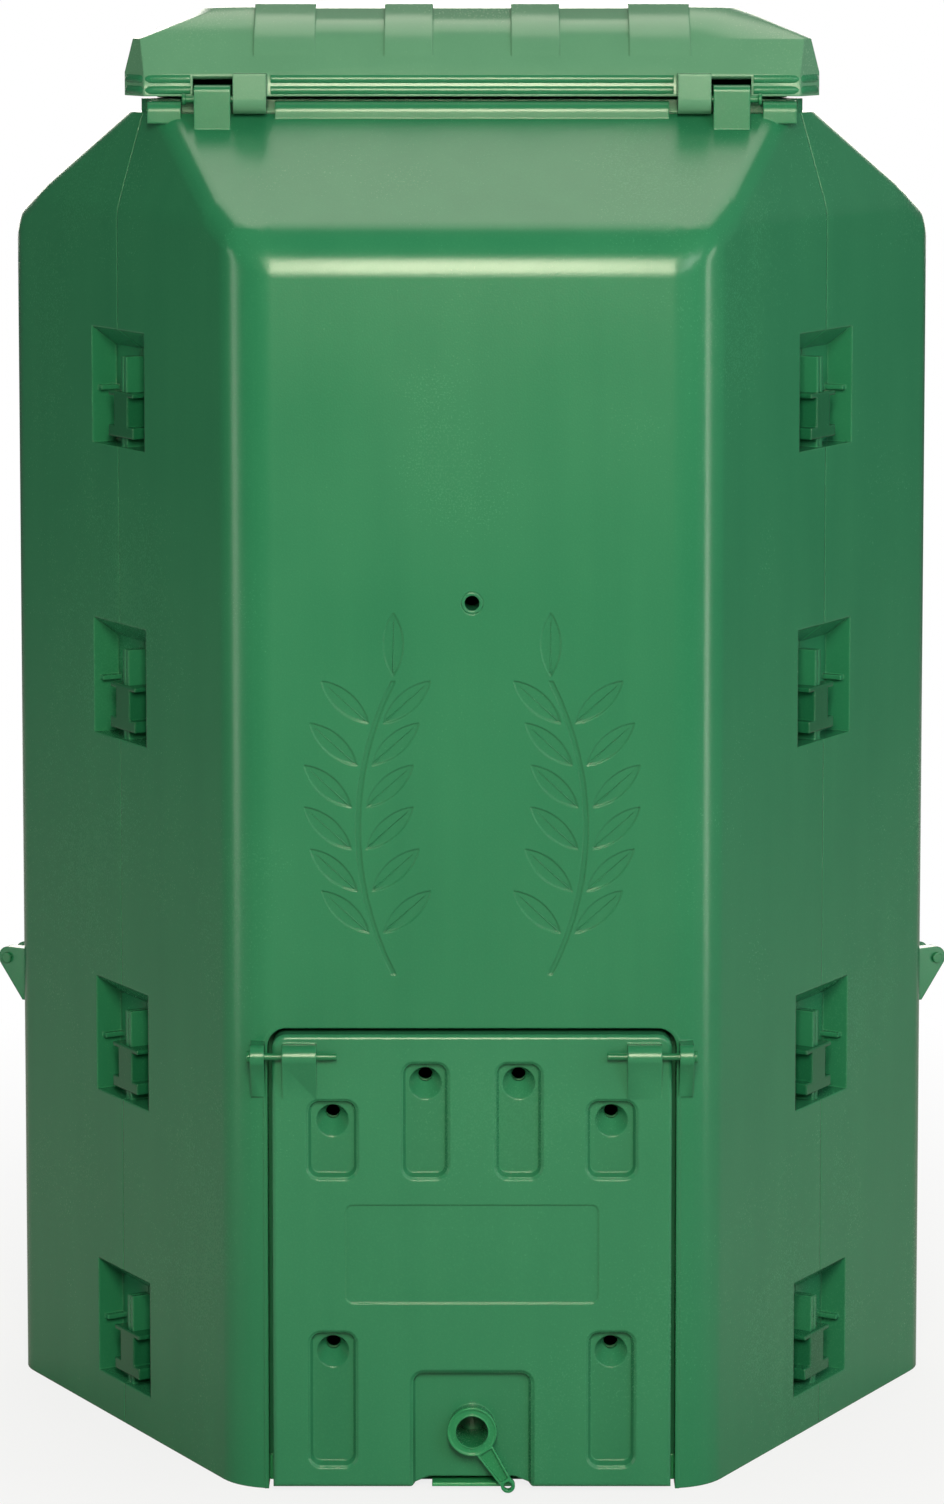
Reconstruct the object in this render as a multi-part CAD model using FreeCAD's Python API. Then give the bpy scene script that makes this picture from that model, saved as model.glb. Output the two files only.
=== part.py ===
"""Insulated compost bin: three double-walled panels, three bottom doors and a hinged lid.

Millimetres, +Z up, origin on the ground at the middle of the bin, front towards -Y.
The three panels are alike and stand 120 degrees apart, so each piece is made for the
front panel and turned into place.
"""
import FreeCAD, Part
import math
import os

V = FreeCAD.Vector

# Panels and their turn about the vertical
panels = {"front": 0.0, "rear_left": -120.0, "rear_right": 120.0}
seam_angle = 60.0

# Body in plan: door faces and seam faces alternate round the hexagon
door_face_width = 395.0
seam_face_width = 445.0
edge_radius = 54.0
hip_radius = 24.0
hip_share = 0.32
liner_radius = 5.0

# Body in height
shoulder_height = 1064.0
shoulder_rise = 100.0
rim_height = 12.0
ledge_apothem = 198.0
rim_apothem = 172.0
corner_drop = 84.0
corner_lean = 26.0

# Double wall
skin = 3.5
air_gap = 27.0
collar_depth = 14.0
seam_gap = 0.8
hood_drop = 36.0

# Clip pockets on the seams
pocket_bottoms = (36.0, 293.0, 615.0, 873.0)
pocket_half_width = 51.5
pocket_height = 103.0
pocket_depth = 24.0
pocket_top_slope = 18.0
tray_wall = 3.0
seam_rib = 5.0
seam_rib_height = 18.0
seam_rib_margin = 6.0
stiffener = 4.0
stiffener_share = 0.45

# Seam clips
clip_slack = 0.2
clip_cheek = 7.5
clip_height = 40.0
clip_flange_half = 24.0
clip_cap = 4.0
clip_base = 10.0
clip_lift = 8.0
clip_back = 3.5

# Door opening and door
door_width = 338.0
door_bottom = 4.0
door_top = 395.0
door_gap = 4.0
door_stop = 10.0
door_corner = 12.0
door_proud = 10.0
door_depth = 30.0
door_wall = 3.5
door_edge_radius = 4.0
cover_thickness = 3.0

# Vent slots of the door: middle from the centre line, top below the door's top, height and width
outer_slot = {"middle": 118.0, "drop": 56.0, "height": 67.0, "width": 42.0}
inner_slot = {"middle": 39.5, "drop": 24.0, "height": 99.0, "width": 39.0}
lower_slot = {"middle": 118.0, "drop": 256.0, "height": 117.0, "width": 40.0}
slot_depth = 9.0
slot_corner = 10.0
slot_draft = 3.0
slot_lip = 1.6
dish_radius = 14.0
dish_depth = 12.0
dish_lift = 5.0
vent_radius = 6.0
vent_from_top = 19.0

# Plain sunk panel on the door
label_half_width = 107.0
label_drop = 146.0
label_height = 85.0
label_depth = 1.2
label_corner = 6.0

# Door hinges
door_axis_drop = 17.0
door_axis_out = 16.0
pin_radius = 3.0
pin_slack = 0.05
pin_head_radius = 5.0
pin_head = 3.0
lug_radius = 10.0
lug_foot = 38.0
lug_root = 5.0
body_lug_gap = 2.0
body_lug_width = 12.0
door_knuckle_inset = 9.0
door_knuckle_width = 29.0
door_pin_overhang = 17.0

# Latch
latch_height = 54.0
recess_half_width = 51.0
recess_top = 104.0
recess_depth = 10.0
recess_corner = 10.0
recess_lip = 2.2
notch_half_width = 36.5
notch_height = 7.0
notch_ramp = 16.5
spindle_radius = 16.5
spindle_bore = 13.6
spindle_slack = 0.1
sleeve_wall = 3.3
hub_radius = 21.0
lever_thickness = 6.2
lever_gap = 0.4
lever_length = 56.0
lever_root_half = 9.4
lever_tip_half = 5.0
eyelet_radius = 6.0
eyelet_bore = 3.4
lever_angle = 33.0
lever_rim = 1.8
lever_ring_groove = 1.0
lever_web = 3.4
cam_reach = 44.0
cam_half_width = 8.0
cam_thickness = 6.0
cam_gap = 2.0

# Sill across the foot of each door opening
sill_height = 22.0
sill_depth = 10.0
sill_gap = 3.0
tread_half_width = 34.0
tread_thickness = 3.0
tread_inset = 3.0

# Thermometer hole in each panel
probe_height = 761.0
probe_radius = 6.25
probe_sleeve_wall = 3.0
probe_sleeve_slack = 0.05
probe_flange_radius = 40.0

# Sunk leaf sprigs on each panel
sprig_depth = 1.2
sprig_offset = 66.0
sprig_bottom = 445.0
sprig_height = 250.0
sprig_bow = 30.0
stem_width = 4.0
leaf_pairs = 6
leaf_length = 54.0
leaf_width = 17.0
leaf_angle = 48.0

# Rolled bars on the ledge, under the front of the lid
bar_proud = 10.0
bar_depth = 20.0
bar_drop = 1.0
bar_radius = 9.0
bar_end_gap = 7.0
end_bar_gap = 12.0
end_bar_width = 29.0

# Lid
lid_front = 195.0
lid_long_apothem = 180.0
lid_short_apothem = 343.0
lid_clearance = 3.0
lid_skirt = 20.0
lid_crease_rise = 29.0
lid_crease_inset_front = 17.0
lid_crease_inset_long = 8.0
lid_crease_inset_short = 5.0
lid_top_rise = 26.0
lid_top_inset_front = 53.0
lid_top_inset_long = 38.0
lid_top_inset_short = 81.0
lid_wall = 3.5
lid_plate = 3.0
lid_seat_gap = 0.3
lid_lip_drop = 20.0
lid_lip_gap = 2.0
lid_lip_wall = 3.5

# Raised ribs on the front of the lid
lid_rib_rise = 3.5
lid_rib_start = 136.0
lid_rib_width = 53.0
lid_pad_start = 34.0
lid_pad_width = 42.0
lid_rib_front = 8.0
lid_rib_back = 20.0

# Lid hinges
lid_axis_out = 12.0
lid_axis_rise = 1.0
lid_knuckle_radius = 13.0
lid_knuckle_start = 177.0
lid_knuckle_width = 28.5
bracket_gap = 2.0
bracket_width = 31.5
bracket_back = 17.0
bracket_front = 13.0
bracket_rise = 12.0
bracket_radius = 5.0
bracket_swing_gap = 1.8
lid_pin_stub = 10.5

# Worked out from the values above
wall = 2 * skin + air_gap
door_apothem = (door_face_width + 2 * seam_face_width) / (2 * math.sqrt(3))
seam_apothem = (seam_face_width + 2 * door_face_width) / (2 * math.sqrt(3))
rim_base = shoulder_height + shoulder_rise
rim_top = rim_base + rim_height
shoulder_slope = shoulder_rise / (door_apothem - ledge_apothem)
liner_outer = skin + air_gap
hood_base = shoulder_height - hood_drop
opening_half = door_width / 2 + door_gap
opening_top = door_top + door_gap
body_lug_start = opening_half + body_lug_gap
door_knuckle_start = door_width / 2 - door_knuckle_inset - door_knuckle_width
face_y = -door_apothem
door_front_y = face_y - door_proud
door_back_y = door_front_y + door_depth
cover_back_y = door_back_y + cover_thickness
door_axis_y = face_y - door_axis_out
door_axis_height = door_top - door_axis_drop
recess_floor_y = door_front_y + recess_depth
sill_front_y = cover_back_y + sill_gap
sill_back_y = sill_front_y + sill_depth
cam_front_y = sill_back_y + cam_gap
cam_back_y = cam_front_y + cam_thickness
far = 2 * (door_apothem + seam_apothem)

lid_base = rim_top + lid_clearance
lid_axis_y = -(lid_front + lid_axis_out)
lid_axis_z = rim_top + lid_axis_rise
bracket_start = lid_knuckle_start + lid_knuckle_width + bracket_gap
bracket_swing = math.hypot(bracket_back, bracket_rise) + bracket_swing_gap


# Small building blocks

def box(x0, x1, y0, y1, z0, z1):
    return Part.makeBox(x1 - x0, y1 - y0, z1 - z0, V(x0, y0, z0))


def prism(points, along):
    return Part.Face(Part.makePolygon(points + [points[0]])).extrude(along)


def rod(radius, start, end):
    return Part.makeCylinder(radius, (end - start).Length, start, end - start)


def turned(shape, angle):
    copy = shape.copy()
    copy.rotate(V(), V(0, 0, 1), angle)
    return copy


def both_sides(shape):
    return [shape, shape.mirror(V(), V(1, 0, 0))]


def along_y_edges(solid):
    return [e for e in solid.Edges if abs(e.tangentAt(e.FirstParameter).y) > 0.999]


def rounded_plate(half_width, z0, z1, y0, y1, radius, top_only=False):
    """Upright plate facing -Y with its corners rounded, or only the upper two."""
    plate = box(-half_width, half_width, y0, y1, z0, z1)
    middle = (z0 + z1) / 2
    edges = [e for e in along_y_edges(plate) if not top_only or e.CenterOfMass.z > middle]
    return plate.makeFillet(radius, edges)


def tapered_pocket(half_width, z0, z1, y_face, y_floor, radius, draft):
    """Rounded pocket, open towards -Y, whose walls lean in towards its floor."""
    reach = 1.0
    lean = draft / (y_floor - y_face)
    rings = []
    for y in (y_face - reach, y_floor):
        shrink = (y - y_face) * lean
        plate = rounded_plate(
            half_width - shrink, z0 + shrink, z1 - shrink, y, y + reach, radius - shrink
        )
        front = min(plate.Faces, key=lambda face: face.CenterOfMass.y)
        rings.append(front.OuterWire)
    return Part.makeLoft(rings, True, True)


def plan(front, long_apothem, short_apothem, z):
    """Six corners: the front and the two long sides face the doors, the short sides face the seams."""
    corners = []
    for k, apothem in enumerate((front, long_apothem, long_apothem)):
        facing = math.radians(-90 + 120 * k)
        for side in (-1, 1):
            beside = facing + side * math.radians(60)
            turn = math.sin(beside - facing)
            x = (apothem * math.sin(beside) - short_apothem * math.sin(facing)) / turn
            y = (short_apothem * math.cos(facing) - apothem * math.cos(beside)) / turn
            corners.append(V(x, y, z))
    return corners


def triangle_block(apothem, facing, z0, z1):
    """Three-sided block, with one side facing the given way."""
    corners = []
    for k in range(3):
        angle = math.radians(facing + 60 + 120 * k)
        corners.append(V(2 * apothem * math.cos(angle), 2 * apothem * math.sin(angle), z0))
    return prism(corners, V(0, 0, z1 - z0))


def plan_block(long_apothem, short_apothem, z0, z1):
    """Block with long sides facing the doors, cut off by short sides facing the seams."""
    return triangle_block(long_apothem, -90, z0, z1).common(triangle_block(short_apothem, 90, z0, z1))


def frustum(low, high):
    """Solid between two level outlines whose sides run parallel."""
    faces = [Part.Face(Part.makePolygon(ring + [ring[0]])) for ring in (low, high)]
    count = len(low)
    for k in range(count):
        after = (k + 1) % count
        side = [low[k], low[after], high[after], high[k], low[k]]
        faces.append(Part.Face(Part.makePolygon(side)))
    return Part.Solid(Part.Shell(faces))


def sector(gap):
    """Third of the space, between the two seams beside the front panel, less a gap at each."""
    apex = V(0, -gap / math.sin(math.radians(60)), 0)
    right = V(math.cos(math.radians(-30)), math.sin(math.radians(-30)), 0) * far
    left = V(-right.x, right.y, 0)
    outward = V(0, -far, 0)
    points = [apex, apex + right, apex + right + outward, apex + left + outward, apex + left]
    return prism(points, V(0, 0, rim_top + rim_height))


# Body walls

def shoulder_z(apothem, inset):
    drop = inset * math.hypot(1, shoulder_slope)
    return shoulder_height + (door_apothem - apothem) * shoulder_slope - drop


def corner_apothem(z, inset):
    """Distance of a seam face from the middle where it leans in below the rim."""
    lean = corner_lean / corner_drop
    return seam_apothem - inset * math.hypot(1, lean) - (z - rim_base + corner_drop) * lean


def cut_round(solid, profile, first_angle):
    """Cut a section, given as (distance from the middle, height), away on three sides."""
    cutter = prism([V(-far, -apothem, z) for apothem, z in profile], V(2 * far, 0, 0))
    return solid.cut([turned(cutter, first_angle + angle) for angle in panels.values()])


def rounded(solid, radii):
    """Round edges of a solid, given as (number of the edge, radius at each end)."""
    source = workspace.addObject("Part::Feature", "source")
    source.Shape = solid
    fillet = workspace.addObject("Part::Fillet", "fillet")
    fillet.Base = source
    fillet.Edges = radii
    workspace.recompute()
    return fillet.Shape.Solids[0]


def hull(inset, collar_inset):
    """Closed form of the whole body, moved inwards from its outer surface."""
    ledge_z = rim_base - inset
    low = rim_base - corner_drop - wall
    peak = shoulder_z(0, inset)
    solid = plan_block(door_apothem - inset, seam_apothem - inset, 0, ledge_z)
    solid = cut_round(solid, [(0, peak), (far, shoulder_z(far, inset)), (far, peak)], 0)
    lean_low, lean_top = corner_apothem(low, inset), corner_apothem(rim_top, inset)
    solid = cut_round(solid, [(lean_low, low), (far, low), (far, rim_top), (lean_top, rim_top)], seam_angle)
    corner_width = 2 * (2 * ledge_apothem - corner_apothem(rim_base, 0)) * math.tan(math.radians(30))
    radii = []
    for number, edge in enumerate(solid.Edges, 1):
        step = edge.Vertexes[-1].Point - edge.Vertexes[0].Point
        upright = math.hypot(step.x, step.y) < 0.001
        level = abs(step.z) < 0.001
        radius = edge_radius if upright or level else min(hip_radius, hip_share * corner_width)
        if 0.001 < edge.CenterOfMass.z < ledge_z - 0.001:
            radii.append((number, *[max(radius - inset, liner_radius)] * 2))
    collar = plan_block(rim_apothem - collar_inset, lean_top, ledge_z, rim_top)
    return rounded(solid, radii).fuse(collar).removeSplitter()


workspace = FreeCAD.newDocument("workspace")
outside = hull(0, 0)
skin_inside = hull(skin, skin)
liner_outside = hull(liner_outer, collar_depth - skin)
liner_inside = hull(wall, collar_depth)


def at_seam(shape):
    """From seam coordinates (along the face, outwards, up) to the front panel's right seam."""
    placed = turned(shape, 240)
    facing = math.radians(-30)
    placed.translate(V(math.cos(facing), math.sin(facing), 0) * seam_apothem)
    return placed


def pocket_form(bottom, grow, depth, start, proud):
    """Half of a clip pocket, grown by a wall, with its top leaning down towards the floor."""
    top = bottom + pocket_height + grow
    lean = pocket_top_slope / pocket_depth
    profile = [
        V(start, proud, bottom - grow),
        V(start, -depth, bottom - grow),
        V(start, -depth, top - depth * lean),
        V(start, proud, top + proud * lean),
    ]
    return prism(profile, V(pocket_half_width + grow - start, 0, 0))


def pocket_rib(bottom):
    """Upright rib beside the seam that a clip holds, and the stiffener on the pocket's far wall."""
    start = seam_gap / 2
    floor = -pocket_depth
    top = bottom + pocket_height - pocket_top_slope - seam_rib_margin
    rib = box(start, start + seam_rib, floor, floor + seam_rib_height, bottom, top)
    level = bottom + pocket_height * stiffener_share
    end = pocket_half_width + tray_wall / 2
    bar = box(end - 2 * stiffener, end, floor, floor + seam_rib_height, level, level + stiffener)
    return [rib, bar]


def half_pockets():
    """Cuts, trays and ribs of the pockets on both seams of the front panel."""
    voids, trays, ribs = [], [], []
    for bottom in pocket_bottoms:
        void = at_seam(pocket_form(bottom, 0, pocket_depth, 0, tray_wall))
        tray = at_seam(pocket_form(bottom, tray_wall, pocket_depth + tray_wall, seam_gap / 2, -skin / 2))
        voids += both_sides(void)
        trays += both_sides(tray)
        for rib in pocket_rib(bottom):
            ribs += both_sides(at_seam(rib))
    return voids, trays, ribs


pocket_voids, pocket_trays, pocket_ribs = half_pockets()


def lug(base_out, x0, width):
    """Wedge that carries the hinge pin, standing out from a face and running down to it."""
    foot = V(0, base_out, door_axis_height - lug_foot)
    axis = V(0, door_axis_out, door_axis_height)
    reach = axis - foot
    angle = math.atan2(-reach.z, -reach.y) + math.acos(lug_radius / reach.Length)
    nose = V(0, axis.y + lug_radius * math.cos(angle), axis.z + lug_radius * math.sin(angle))
    top = V(0, axis.y, axis.z + lug_radius)
    inner = base_out - lug_root
    outline = [V(0, inner, top.z), top, axis, nose, foot, V(0, inner, foot.z)]
    placed = [V(x0, face_y - p.y, p.z) for p in outline]
    wedge = prism(placed, V(width, 0, 0))
    return wedge.fuse(rod(lug_radius, V(x0, door_axis_y, axis.z), V(x0 + width, door_axis_y, axis.z)))


def hinge_bore(x0, x1, y, z):
    return rod(pin_radius + pin_slack, V(x0, y, z), V(x1, y, z))


def leaf(root, angle):
    """Pointed oval from its root, at an angle from upright, sunk into the front face."""
    along = V(math.sin(angle), 0, math.cos(angle))
    across = V(along.z, 0, -along.x)
    tip = root + along * leaf_length
    middle = root + along * (leaf_length / 2)
    sides = [middle + across * (leaf_width / 2), middle - across * (leaf_width / 2)]
    edges = [Part.Arc(root, sides[0], tip).toShape(), Part.Arc(tip, sides[1], root).toShape()]
    return Part.Face(Part.Wire(edges)).extrude(V(0, 2 * sprig_depth, 0))


def sprig_point(share):
    """Point of the bowed stem, from its foot at 0 to its tip at 1."""
    bow = sprig_bow * 4 * share * (1 - share)
    return V(sprig_offset + bow, face_y - sprig_depth, sprig_bottom + sprig_height * share)


def sprig():
    """Bowed stem with leaves in pairs, and one at its tip."""
    half = V(stem_width / 2, 0, 0)
    foot, middle, tip = sprig_point(0), sprig_point(0.5), sprig_point(1)
    outer = Part.Arc(foot + half, middle + half, tip + half)
    inner = Part.Arc(tip - half, middle - half, foot - half)
    edges = [
        outer.toShape(),
        Part.LineSegment(tip + half, tip - half).toShape(),
        inner.toShape(),
        Part.LineSegment(foot - half, foot + half).toShape(),
    ]
    shapes = [Part.Face(Part.Wire(edges)).extrude(V(0, 2 * sprig_depth, 0))]
    spread = math.radians(leaf_angle)
    for k in range(leaf_pairs):
        root = sprig_point((k + 1) / (leaf_pairs + 1))
        shapes += [leaf(root + half * 3, spread), leaf(root - half * 3, -spread)]
    shapes.append(leaf(tip + V(0, 0, stem_width), 0))
    return shapes


def probe_rod(radius, y0, y1):
    return rod(radius, V(0, y0, probe_height), V(0, y1, probe_height))


def probe_seat(radius):
    """Hole through a wall that the thermometer sleeve or its flange sits in."""
    return probe_rod(radius + probe_sleeve_slack, face_y - skin, face_y + 2 * wall)


def probe_sleeve():
    """Tube from face to face, with a flange that lies flush in the liner."""
    tube = probe_rod(probe_radius + probe_sleeve_wall, face_y, face_y + wall)
    flange = probe_rod(probe_flange_radius, face_y + liner_outer, face_y + wall)
    hole = probe_rod(probe_radius, face_y - skin, face_y + 2 * wall)
    return tube.fuse(flange).cut(hole).removeSplitter()


def door_opening(y0, y1, grow):
    return rounded_plate(
        opening_half + grow, -rim_height, opening_top + grow, y0, y1, door_corner + door_gap + grow, True
    )


def lid_bracket():
    """Upright block on the shoulder that holds the outer end of a lid pin."""
    front_y = lid_axis_y - bracket_front
    block = box(
        bracket_start, bracket_start + bracket_width, front_y, lid_axis_y + bracket_back,
        shoulder_z(-front_y, wall), lid_axis_z + bracket_rise,
    )
    top_edges = [e for e in block.Edges if e.CenterOfMass.z > lid_axis_z + bracket_rise - 0.001]
    front = min(top_edges, key=lambda e: e.CenterOfMass.y)
    block = block.makeFillet(bracket_radius, [front])
    bore = hinge_bore(0, far, lid_axis_y, lid_axis_z)
    return block.cut(skin_inside).cut(bore)


def rim_bar(x0, x1):
    """Bar with a rounded front edge that stands on the ledge before the rim."""
    front_y = -lid_front - bar_proud
    top = rim_top - bar_drop
    bar = box(x0, x1, front_y, front_y + bar_depth, shoulder_z(-front_y, skin), top)
    front = [e for e in bar.Edges if e.CenterOfMass.y < front_y + bar_depth / 2]
    edge = max(front, key=lambda e: e.CenterOfMass.z)
    return bar.makeFillet(bar_radius, [edge]).cut(skin_inside)


def rim_bars():
    half = lid_knuckle_start - bar_end_gap
    end = bracket_start + bracket_width + end_bar_gap
    return [rim_bar(-half, half)] + both_sides(rim_bar(end, end + end_bar_width))


def outer_wall():
    shell = outside.cut(skin_inside).common(sector(seam_gap / 2))
    shell = shell.cut([door_opening(face_y - far, face_y + wall, skin / 2)] + pocket_voids)
    jamb = door_opening(face_y, face_y + liner_outer, skin)
    jamb = jamb.cut(door_opening(face_y - skin, face_y + wall, 0))
    jamb = jamb.common(box(-far, far, face_y - skin, face_y + wall, 0, opening_top + wall))
    trays = [tray.cut(pocket_voids) for tray in pocket_trays]
    added = [jamb] + trays + pocket_ribs
    added += both_sides(lug(0, body_lug_start, body_lug_width))
    wall_shape = shell.fuse(added)
    cuts = [probe_seat(probe_radius + probe_sleeve_wall)]
    cuts.append(hinge_bore(-far, far, door_axis_y, door_axis_height))
    for shape in sprig():
        cuts += both_sides(shape)
    return wall_shape.cut(cuts).removeSplitter()


def front_wall(plain):
    """Outer wall that also carries the lid's brackets and the bars before the rim."""
    return plain.fuse(both_sides(lid_bracket()) + rim_bars()).removeSplitter()


def whole_liner():
    third = sector(seam_gap / 2)
    between = skin_inside.cut(liner_outside)
    sheet = liner_outside.cut(liner_inside)
    foot = between.common(box(-far, far, -far, far, 0, skin))
    cap = between.common(box(-far, far, -far, far, rim_top - skin, rim_top))
    flanges = between.cut(sector(seam_gap / 2 + skin))
    shape = sheet.fuse([foot, cap, flanges]).common(third)
    cuts = [door_opening(face_y - far, face_y + 2 * wall, skin), probe_seat(probe_flange_radius)]
    for bottom in pocket_bottoms:
        room = pocket_form(bottom, tray_wall, pocket_depth + tray_wall, 0, tray_wall)
        cuts += both_sides(at_seam(room))
    shape = shape.cut(cuts)
    edge = door_opening(face_y + liner_outer, face_y + wall, skin)
    edge = edge.cut(door_opening(face_y, face_y + 2 * wall, -door_stop))
    edge = edge.common(box(-far, far, -far, far, 0, opening_top + wall))
    return shape.fuse(edge).removeSplitter()


def liner_pieces():
    """Upright inner liner, and the sloping hood with the mouth's collar that stands on it."""
    whole = whole_liner()
    top = box(-far, far, -far, far, hood_base, rim_top + rim_height)
    return whole.cut(top).removeSplitter(), whole.common(top).removeSplitter()


def door_sill(liner):
    """Bar across the foot of the door opening, let in round the liner's edges, with a tread."""
    sill = box(-opening_half, opening_half, sill_front_y, sill_back_y, 0, sill_height)
    tread = box(
        -tread_half_width, tread_half_width, door_front_y + tread_inset, sill_back_y,
        door_bottom, door_bottom + tread_thickness,
    )
    return sill.fuse(tread).cut(liner).removeSplitter()


# Doors

def lipped_pocket(half_width, z0, z1, y_floor, radius, lip):
    """Tapered pocket in the door's front, with a chamfered lip."""
    pocket = tapered_pocket(half_width, z0, z1, door_front_y, y_floor, radius, slot_draft)
    edge = tapered_pocket(
        half_width + lip, z0 - lip, z1 + lip, door_front_y, door_front_y + lip, radius + lip, lip
    )
    return pocket.fuse(edge)


def vent_dish(floor, z):
    """Round dish in a slot's floor that narrows, leaning upwards, to the vent behind it."""
    rings = []
    for share in (-slot_lip / dish_depth, 1):
        radius = dish_radius + (vent_radius - dish_radius) * share
        centre = V(0, floor + dish_depth * share, z + dish_lift * share)
        rings.append(Part.Wire(Part.makeCircle(radius, centre, V(0, 1, 0))))
    return Part.makeLoft(rings, True, True)


def slot_pair(slot):
    """Pocket, backing, dish, its boss and vent of one slot, on both halves of the door."""
    half = slot["width"] / 2
    z1 = door_top - slot["drop"]
    z0 = z1 - slot["height"]
    floor = door_front_y + slot_depth
    pocket = lipped_pocket(half, z0, z1, floor, slot_corner, slot_lip)
    backing = rounded_plate(
        half + door_wall, z0 - door_wall, z1 + door_wall, door_front_y, floor + door_wall, slot_corner
    )
    dish_z = z1 - vent_from_top
    dish_end = floor + dish_depth
    boss = rod(dish_radius + door_wall / 2, V(0, floor, dish_z), V(0, dish_end + door_wall, dish_z))
    vent_z = dish_z + dish_lift
    vent = rod(vent_radius, V(0, dish_end - slot_lip, vent_z), V(0, cover_back_y + skin, vent_z))
    groups = []
    for shape in (pocket, backing, vent_dish(floor, dish_z), boss, vent):
        shape.translate(V(slot["middle"], 0, 0))
        groups.append(both_sides(shape))
    return groups


def door_vents():
    return [slot_pair(slot) for slot in (outer_slot, inner_slot, lower_slot)]


def bottom_notch(y0, y1, grow):
    """Raised middle of the door's bottom edge, with a ramp at each end."""
    top = door_bottom + notch_height + grow
    foot = door_bottom - rim_height
    wide = notch_half_width + notch_ramp * (top - foot) / notch_height + grow
    narrow = notch_half_width + grow
    outline = [V(-wide, y0, foot), V(-narrow, y0, top), V(narrow, y0, top), V(wide, y0, foot)]
    return prism(outline, V(0, y1 - y0, 0))


def spindle_hole(radius, y0, y1):
    return rod(radius, V(0, y0, latch_height), V(0, y1, latch_height))


def door_shell():
    half = door_width / 2
    body = rounded_plate(half, door_bottom, door_top, door_front_y, door_back_y, door_corner, True)
    front = min(body.Faces, key=lambda face: face.CenterOfMass.y)
    body = body.makeFillet(door_edge_radius, front.Edges)
    hollow = rounded_plate(
        half - door_wall, door_bottom + door_wall, door_top - door_wall,
        door_front_y + door_wall, door_back_y + door_wall, door_corner - door_wall, True,
    )
    recess_bottom = door_bottom - rim_height
    recess = lipped_pocket(
        recess_half_width, recess_bottom, recess_top, recess_floor_y, recess_corner, recess_lip
    )
    recess_backing = rounded_plate(
        recess_half_width + door_wall, recess_bottom, recess_top + door_wall,
        door_front_y, recess_floor_y + door_wall, recess_corner,
    )
    bore = spindle_radius + spindle_slack
    sleeve = spindle_hole(bore + sleeve_wall, recess_floor_y - recess_depth, door_back_y)
    kept = [recess_backing, sleeve, bottom_notch(door_front_y, door_back_y, door_wall)]
    cuts = [recess]
    vents = []
    for pockets, backings, dishes, bosses, holes in door_vents():
        cuts += pockets
        kept += backings + bosses
        vents += dishes + holes
    label_top = door_top - label_drop
    label = rounded_plate(
        label_half_width, label_top - label_height, label_top,
        door_front_y - label_depth, door_front_y + label_depth, label_corner,
    )
    cuts += vents + [label, bottom_notch(door_front_y - skin, door_back_y + skin, 0)]
    body = body.cut(hollow.cut(kept)).cut(cuts)
    knuckles = both_sides(lug(door_proud, door_knuckle_start, door_knuckle_width))
    boss = spindle_hole(bore + sleeve_wall, door_front_y, recess_floor_y + door_wall)
    body = body.fuse(knuckles + [boss])
    final = [
        spindle_hole(bore, door_front_y - skin, door_back_y + skin),
        hinge_bore(-far, far, door_axis_y, door_axis_height),
    ]
    return body.cut(final).removeSplitter()


def door_cover():
    plate = rounded_plate(
        door_width / 2, door_bottom, door_top, door_back_y, cover_back_y, door_corner, True
    )
    cuts = [spindle_hole(spindle_radius + spindle_slack, door_back_y - skin, cover_back_y + skin)]
    cuts.append(bottom_notch(door_back_y - skin, cover_back_y + skin, 0))
    for slot in door_vents():
        cuts += slot[-1]
    return plate.cut(cuts)


def pin_pair(x_in, x_out, y, z):
    """Left and right hinge pins, each with a head at its outer end."""
    pin = rod(pin_radius, V(x_in, y, z), V(x_out, y, z))
    head = rod(pin_head_radius, V(x_out, y, z), V(x_out + pin_head, y, z))
    return Part.makeCompound(both_sides(pin.fuse(head).removeSplitter()))


def lever_pocket(hub, down, across):
    """Hollow of the arm between its two edge rims."""
    outline = []
    for reach in (hub_radius, lever_length - eyelet_radius):
        half = lever_root_half + (lever_tip_half - lever_root_half) * reach / lever_length - lever_rim
        outline.append((reach, half))
    points = [hub + down * reach + across * half for reach, half in outline]
    points += [hub + down * reach - across * half for reach, half in reversed(outline)]
    return prism(points, V(0, lever_web, 0))


def latch_lever():
    """Ring hub on a hollow spindle, with a tapered arm that ends in an eyelet."""
    back = door_front_y - lever_gap
    front = back - lever_thickness
    ring = spindle_hole(hub_radius, front, back)
    spindle = spindle_hole(spindle_radius, back - lever_thickness / 2, cam_front_y)
    down = V(math.sin(math.radians(lever_angle)), 0, -math.cos(math.radians(lever_angle)))
    across = V(down.z, 0, -down.x)
    hub = V(0, front, latch_height)
    tip = hub + down * lever_length
    outline = [
        hub + across * lever_root_half,
        tip + across * lever_tip_half,
        tip - across * lever_tip_half,
        hub - across * lever_root_half,
    ]
    depth = V(0, lever_thickness, 0)
    arm = prism(outline, depth)
    eyelet = rod(eyelet_radius, tip, tip + depth)
    shape = ring.fuse([spindle, arm, eyelet])
    hollow = spindle_hole(spindle_bore, front - skin, cam_front_y + skin)
    eye = rod(eyelet_bore, tip - depth, tip + depth * 2)
    groove = spindle_hole(hub_radius - lever_rim, front, front + lever_ring_groove)
    groove = groove.cut(spindle_hole(spindle_bore + lever_rim / 2, front - skin, back))
    return shape.cut([hollow, eye, groove, lever_pocket(hub, down, across)]).removeSplitter()


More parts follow.
